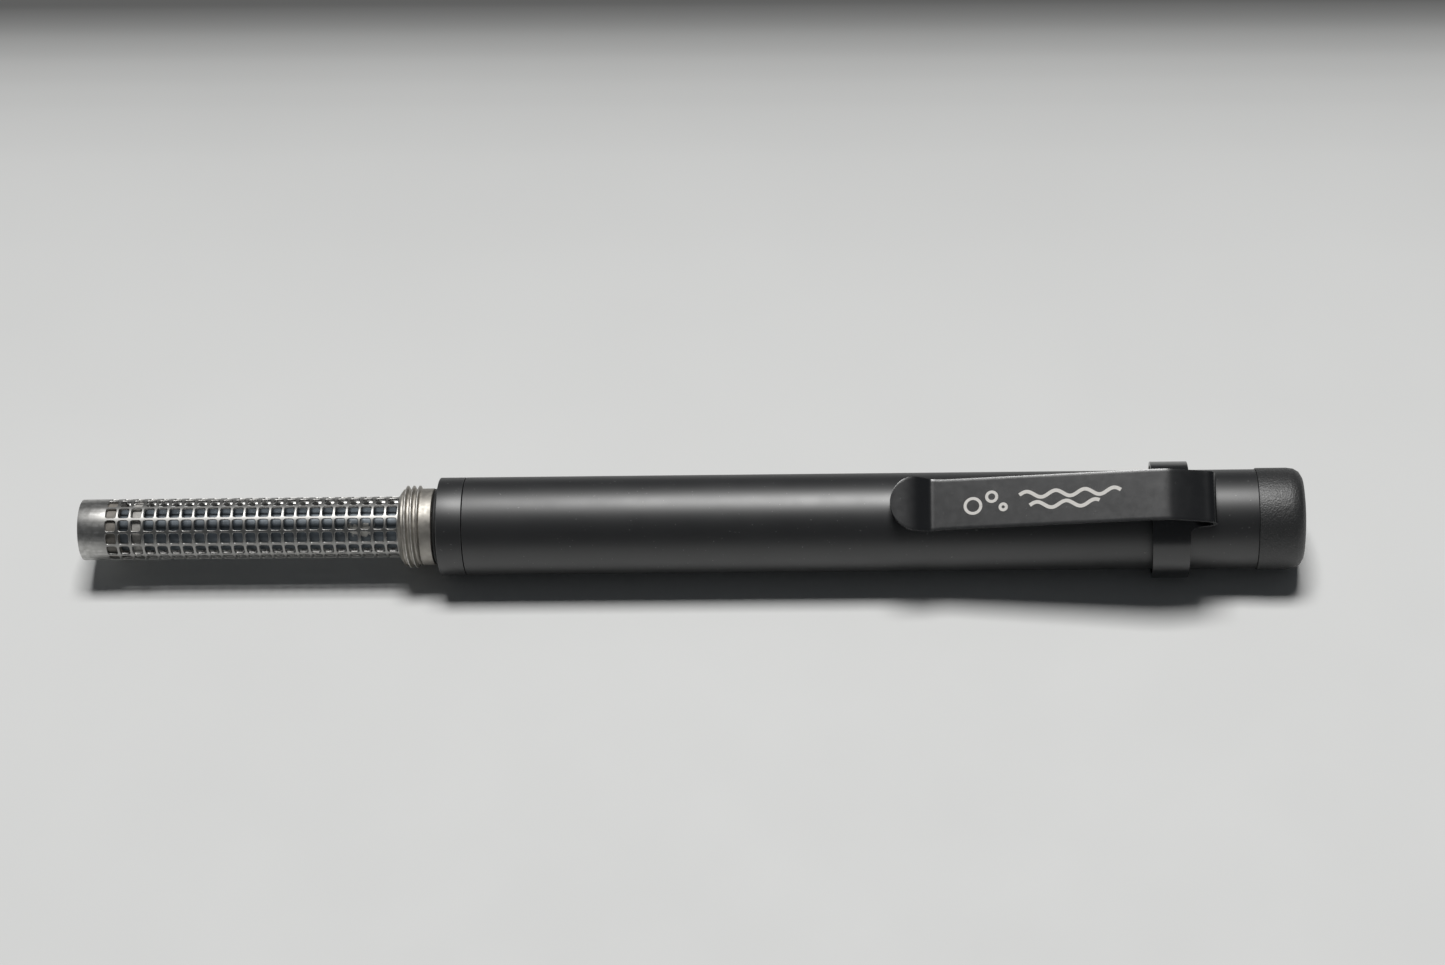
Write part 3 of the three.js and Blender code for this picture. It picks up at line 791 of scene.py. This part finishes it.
def print_ribbon(bm, path, half):
    """Flat ribbon of ink along a path of (station, across) points."""
    sides = [[], []]
    for i, point in enumerate(path):
        before = Vector(path[max(i - 1, 0)])
        after = Vector(path[min(i + 1, len(path) - 1)])
        along = (after - before).normalized()
        normal = Vector((-along.y, along.x)) * half
        for side, sign in zip(sides, (1, -1)):
            spot = Vector(point) + normal * sign
            side.append(bm.verts.new(on_arm_face(spot.x, spot.y)))
    stitch(bm, sides, around=False)


def clip_mark():
    """A generic sign for water: three bubbles and two waves."""
    bm = bmesh.new()
    bubble_steps, bubble_ink = 40, 0.24
    for station, across, radius in ((146.2, -0.5, 1.25), (149.2, 0.9, 0.8), (151, -0.9, 0.5)):
        circle = []
        for k in range(bubble_steps + 1):
            a = 2 * math.pi * k / bubble_steps
            circle.append((station + radius * math.cos(a), across + radius * math.sin(a)))
        print_ribbon(bm, circle, bubble_ink)
    wave_steps, wave_ink, wave_height, wave_length = 90, 0.3, 0.5, 4.6
    for first, last, level in ((153.6, 169.6, 0.95), (155.2, 166.2, -0.85)):
        wave = []
        for k in range(wave_steps + 1):
            station = first + (last - first) * k / wave_steps
            swing = math.sin((station - first) * 2 * math.pi / wave_length)
            wave.append((station, level + wave_height * swing))
        print_ribbon(bm, wave, wave_ink)
    piece = mesh_object("clip_mark", bm, tidy_normals=False)
    place(piece, "arm", "clip_coated", mark_print)


# ---------------------------------------------------------------- inner CAD pieces keep their shape
def dress_inner_nodes():
    looks = {
        "head_seal": seal_rubber, "cathode_tag": brass, "collar_nut": stamped_steel, "terminal_nut": brass,
        "anode_lead": red_silicone, "cathode_lead": black_silicone, "carrier": natural_nylon,
        "battery_cell": cell_wrap, "battery_spring": bright_nickel, "battery_contact": brass,
        "circuit_board": solder_mask, "boost_inductor": ferrite, "controller_chip": chip_epoxy,
        "storage_capacitor": can_sleeve, "status_led": diffuser, "charging_socket": stamped_steel,
        "tact_switch": chip_epoxy, "switch_plunger": natural_nylon,
    }
    for name, material in looks.items():
        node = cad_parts[name]
        for slot in node.material_slots:
            slot.material = material


# ---------------------------------------------------------------- floor, light and camera
def pale_floor():
    reach = 3
    floor_z = cad_box[0][2]
    bm = bmesh.new()
    square = ((-reach, -reach), (reach, -reach), (reach, reach), (-reach, reach))
    bm.faces.new([bm.verts.new((x, y, floor_z)) for x, y in square])
    floor = mesh_object("floor", bm, tidy_normals=False)
    material = finish("floor_paint", (0.7, 0.705, 0.7), 0.6, 0.0, 0.3, tone=(0.02, 0.012), grain=(1, 0.004))
    # Painted shade: the paper's colour darkens towards its far edge
    shade_far_edge(material)
    floor.data.materials.append(material)


def shade_far_edge(material):
    """Painted shade darkens the paper towards its far edge, behind the pen, along a line slightly askew to
    it.
    """
    near, far, askew = -0.02, 0.1405, 0.02
    where = add(material, "ShaderNodeTexCoord").outputs["Object"]
    apart = add(material, "ShaderNodeSeparateXYZ", [(0, where)]).outputs
    depth = plus(material, apart["Y"], times(material, apart["X"], askew))
    ramp = add(material, "ShaderNodeValToRGB", [("Fac", remap(material, depth, near, far, 0, 1))])
    ramp.color_ramp.interpolation = "CARDINAL"
    # Position from near to far, and the share of the paper's colour that the painted shade leaves there
    stops = (
        (0.0, 1.0), (0.3, 0.97), (0.56, 0.91), (0.72, 0.84), (0.8, 0.757), (0.847, 0.68), (0.89, 0.56),
        (0.934, 0.37), (0.978, 0.17), (1.0, 0.14),
    )
    for i, (position, level) in enumerate(stops):
        stop = ramp.color_ramp.elements[i] if i < 2 else ramp.color_ramp.elements.new(position)
        stop.position = position
        stop.color = (level, level, level, 1)
    paper = shader_input(material, "Base Color").links[0].from_socket
    feed(material, "Base Color", mixed(material, 1, paper, ramp.outputs[0], blend="MULTIPLY"))


def key_light():
    """A long soft box above and a little behind the pen."""
    elevation, distance = math.radians(75), 2.0
    lamp = bpy.data.lights.new("soft_box", "AREA")
    lamp.shape = "RECTANGLE"
    lamp.size, lamp.size_y = 0.8, 0.56
    lamp.energy = 37.9
    lamp.color = (1, 0.995, 0.985)
    box = bpy.data.objects.new("soft_box", lamp)
    middle = Vector((0, 0, AXIS_Z))
    box.location = middle + Vector((0, math.cos(elevation), math.sin(elevation))) * distance
    box.rotation_euler = (middle - box.location).to_track_quat("-Z", "Y").to_euler()
    bpy.context.scene.collection.objects.link(box)


def room_fill():
    world = bpy.data.worlds.new("room")
    world.use_nodes = True
    background = world.node_tree.nodes["Background"]
    background.inputs["Color"].default_value = (0.8, 0.85, 0.9, 1)
    background.inputs["Strength"].default_value = 0.07
    bpy.context.scene.world = world


def camera():
    """Looks down at the pen from its -Y side, from above the clip's half, turned slightly to the tip."""
    elevation, distance = math.radians(50), 0.5349
    yaw, pitch, roll = math.radians(3.35), math.radians(0.72), math.radians(0.55)
    over_station = 136.93
    forward = Vector((0, math.cos(elevation), -math.sin(elevation)))
    right = Vector((1, 0, 0))
    up = right.cross(forward)
    turned = Matrix.Rotation(yaw, 3, up)
    forward, right = turned @ forward, turned @ right
    tilted = Matrix.Rotation(pitch, 3, right)
    forward, up = tilted @ forward, tilted @ up
    rolled = Matrix.Rotation(roll, 3, forward)
    right, up = rolled @ right, rolled @ up
    lens = bpy.data.cameras.new("camera")
    lens.sensor_width = 36
    lens.lens = 81.75
    lens.clip_start = 0.01
    view = bpy.data.objects.new("camera", lens)
    place_x = TIP_X + over_station * MM
    position = Vector((place_x, -distance * math.cos(elevation), AXIS_Z + distance * math.sin(elevation)))
    turn = Matrix((right, up, -forward)).transposed().to_4x4()
    view.matrix_world = Matrix.Translation(position) @ turn
    bpy.context.scene.collection.objects.link(view)
    bpy.context.scene.camera = view


# ---------------------------------------------------------------- scene
camera()
key_light()
room_fill()
pale_floor()
bpy.context.scene.view_settings.view_transform = "Standard"

perforated_tube()
threaded_collar()
head_ring()
oval_ring("seal_cap", "cap_seal", "handle", "seal_rubber", seal_rubber)
tip_plug()
front_spacer()
anode_rod()
rear_insulator()
barrel_sleeve()
tail_cap()
light_ring()
power_button()
oval_ring("seal_tail", "tail_gasket", "gasket", "seal_rubber", seal_rubber)
clip_strip()
clip_mark()
dress_inner_nodes()
